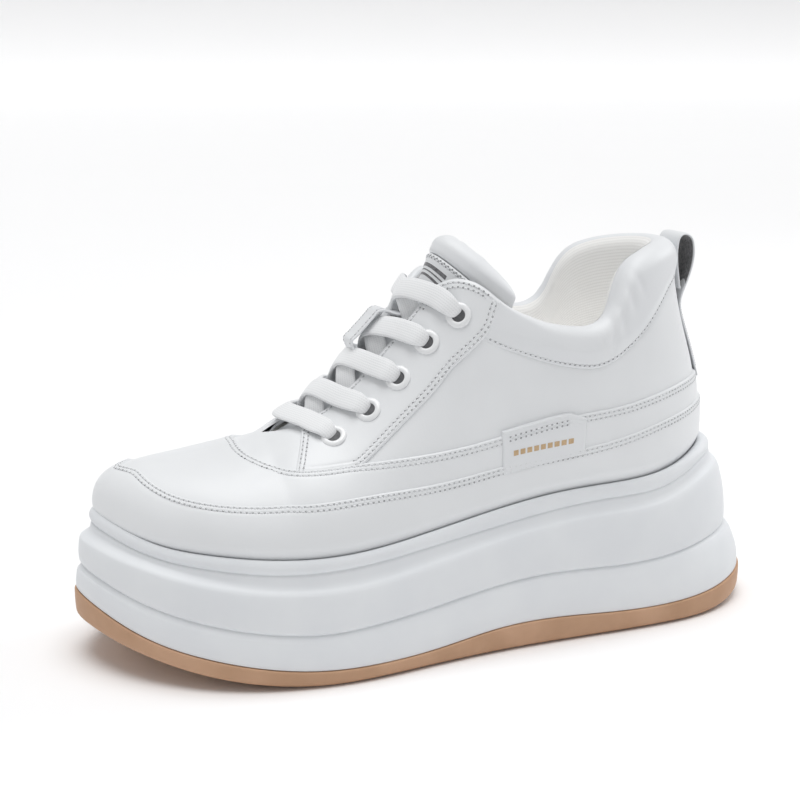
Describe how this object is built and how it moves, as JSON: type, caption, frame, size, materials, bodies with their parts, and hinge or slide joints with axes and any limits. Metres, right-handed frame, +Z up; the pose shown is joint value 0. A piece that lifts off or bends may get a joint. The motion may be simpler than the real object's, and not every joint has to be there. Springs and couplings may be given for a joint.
{
  "type": "platform sneaker",
  "caption": "White leather lace-up sneaker, left shoe, on a thick flared platform sole with a gum rubber outsole, padded collar and tongue, and a heel pull loop.",
  "frame": {"origin": "on the floor under the middle of the shoe's length and width", "axes": "+X towards the toe, +Y towards the outer side of the foot, +Z up"},
  "size_m": [0.2716, 0.1033, 0.1502],
  "materials": {
    "white_leather": "smooth satin, fine grain",
    "white_foam": "smooth matte moulded foam rubber",
    "gum_rubber": "matte gum",
    "lining_textile": "knitted mesh",
    "lace_cotton": "woven flat lace",
    "white_enamel": "gloss white"
  },
  "bodies": {
    "root": {"outsole": "gum_rubber", "midsole": "white_foam", "insole": "lining_textile", "upper": "white_leather", "tongue": "white_leather", "tongue_lace_loop": "white_leather", "heel_pull_loop": "white_leather", "eyelet_outer_1": "white_enamel", "eyelet_inner_1": "white_enamel", "eyelet_outer_2": "white_enamel", "eyelet_inner_2": "white_enamel", "eyelet_outer_3": "white_enamel", "eyelet_inner_3": "white_enamel", "eyelet_outer_4": "white_enamel", "eyelet_inner_4": "white_enamel", "eyelet_outer_5": "white_enamel", "eyelet_inner_5": "white_enamel", "lace_bar": "lace_cotton", "lace_crossing_1": "lace_cotton", "lace_crossing_2": "lace_cotton", "lace_crossing_3": "lace_cotton", "lace_crossing_4": "lace_cotton"}
  },
  "joints": []
}
